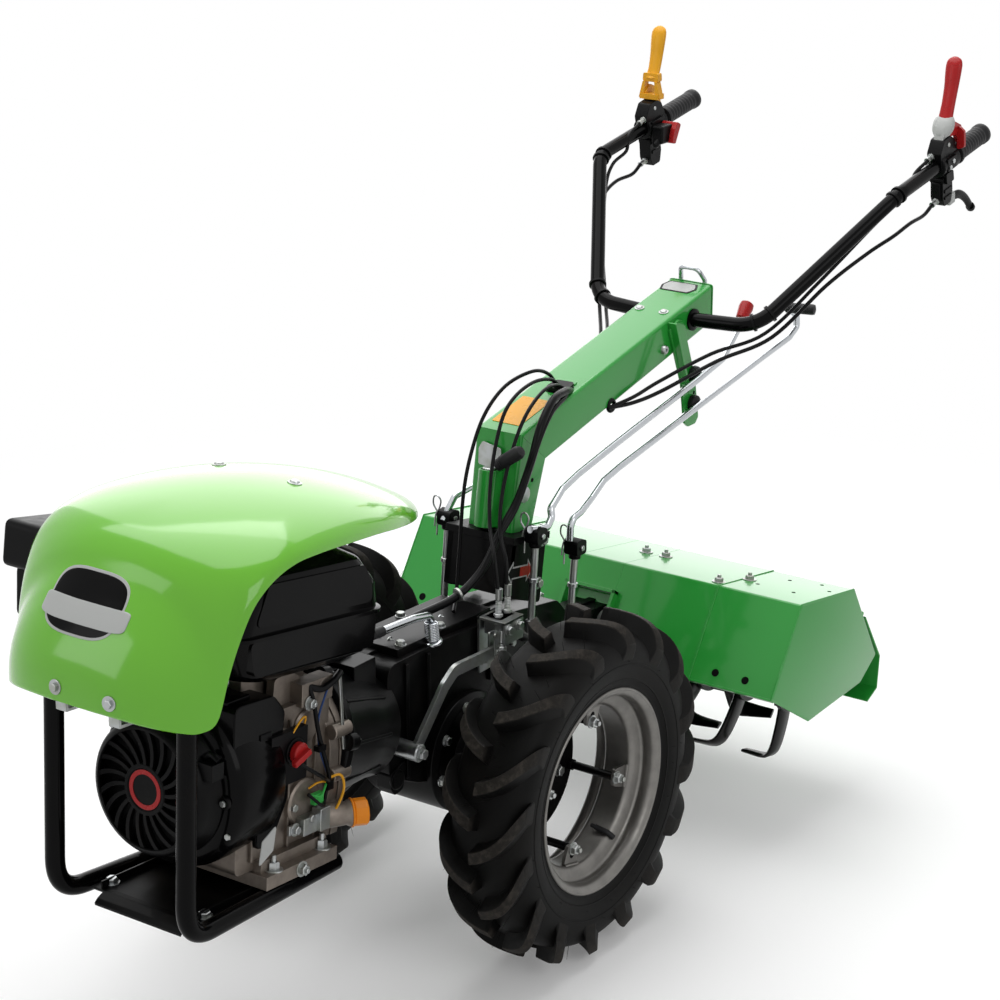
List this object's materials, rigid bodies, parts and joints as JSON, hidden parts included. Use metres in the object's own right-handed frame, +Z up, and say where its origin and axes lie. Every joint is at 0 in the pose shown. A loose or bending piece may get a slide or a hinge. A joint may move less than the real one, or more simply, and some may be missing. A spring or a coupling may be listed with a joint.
{
  "type": "walking tractor with rotary tiller",
  "caption": "Walking tractor: front engine under a helmet bonnet, tube guard, chevron tyres, swinging handlebars and a rear rotary tiller under a folded hood.",
  "frame": {"origin": "On the ground, midway across the machine and midway along its length", "axes": "+Z up, forward along -Y, the machine's left along +X"},
  "size_m": [0.768, 2.0258, 1.2257],
  "materials": {
    "bonnet_paint": "gloss",
    "frame_paint": "satin",
    "black_paint": "satin",
    "black_casting": "satin",
    "engine_aluminium": "satin",
    "black_plastic": "satin",
    "tyre_rubber": "matte",
    "rim_silver": "satin",
    "zinc_plate": "satin",
    "bright_rod": "polished",
    "grip_rubber": "matte",
    "red_plastic": "gloss",
    "yellow_plastic": "gloss",
    "orange_plastic": "gloss",
    "cable_sheath": "satin"
  },
  "bodies": {
    "chassis": {"bonnet": "bonnet_paint", "bonnet_bracket": "zinc_plate", "bonnet_strap": "zinc_plate", "guard_tube_left": "black_paint", "guard_tube_right": "black_paint", "skid_plate": "black_paint", "engine_block": "engine_aluminium", "blower_housing": "black_paint", "recoil_starter": "black_paint", "fuel_tank": "black_paint", "fuel_cap": "black_paint", "air_cleaner": "black_plastic", "silencer": "black_paint", "oil_filler": "orange_plastic", "clutch_housing": "black_casting", "gearbox": "black_casting", "clutch_arm": "zinc_plate", "cable_bracket": "zinc_plate", "engage_lever": "bright_rod", "turret": "black_paint", "selector_rod_front": "zinc_plate", "selector_rod_rear": "zinc_plate", "selector_rod_right": "zinc_plate", "tiller_case": "black_casting", "hood_stay": "black_paint", "tiller_hood": "frame_paint", "hood_end_left": "frame_paint", "hood_end_right": "frame_paint", "depth_spur": "black_paint"},
    "handlebar": {"column": "frame_paint", "beam": "frame_paint", "handlebar_left": "black_paint", "handlebar_right": "black_paint", "grip_left": "grip_rubber", "grip_right": "grip_rubber", "lever_clamp_left": "black_plastic", "lever_clamp_right": "black_plastic", "clutch_lever_left": "red_plastic", "reverse_lever_right": "yellow_plastic", "brake_lever_left": "black_paint", "stop_switch_right": "red_plastic", "lever_guide": "frame_paint", "shift_lever_front": "bright_rod", "shift_lever_rear": "bright_rod", "tail_loop": "bright_rod", "swivel_lock": "zinc_plate", "knee_cables": "cable_sheath", "bar_cable_left": "cable_sheath", "bar_cable_right": "cable_sheath"},
    "wheel_left": {"tyre_left": "tyre_rubber", "rim_left": "rim_silver", "hub_left": "black_casting"},
    "wheel_right": {"tyre_right": "tyre_rubber", "rim_right": "rim_silver", "hub_right": "black_casting"},
    "rotor": {"rotor_left": "black_paint", "rotor_right": "black_paint"},
    "flap": {"rear_flap": "frame_paint"}
  },
  "joints": [
    {"name": "wheel_left_spin", "type": "hinge", "parent": "chassis", "child": "wheel_left", "pos_m": [0.264, -0.24693, 0.274], "axis": [1, 0, 0], "continuous": true},
    {"name": "wheel_right_spin", "type": "hinge", "parent": "chassis", "child": "wheel_right", "pos_m": [-0.264, -0.24693, 0.274], "axis": [1, 0, 0], "continuous": true},
    {"name": "rotor_spin", "type": "hinge", "parent": "chassis", "child": "rotor", "pos_m": [0, 0.32807, 0.259], "axis": [1, 0, 0], "continuous": true},
    {"name": "flap_hinge", "type": "hinge", "parent": "chassis", "child": "flap", "pos_m": [0, 0.47427, 0.34], "axis": [1, 0, 0], "range_deg": [0, 60]},
    {"name": "handlebar_swivel", "type": "hinge", "parent": "chassis", "child": "handlebar", "pos_m": [0, -0.05493, 0.578], "axis": [0, 0.165, 0.9863], "range_deg": [-20, 20]}
  ]
}
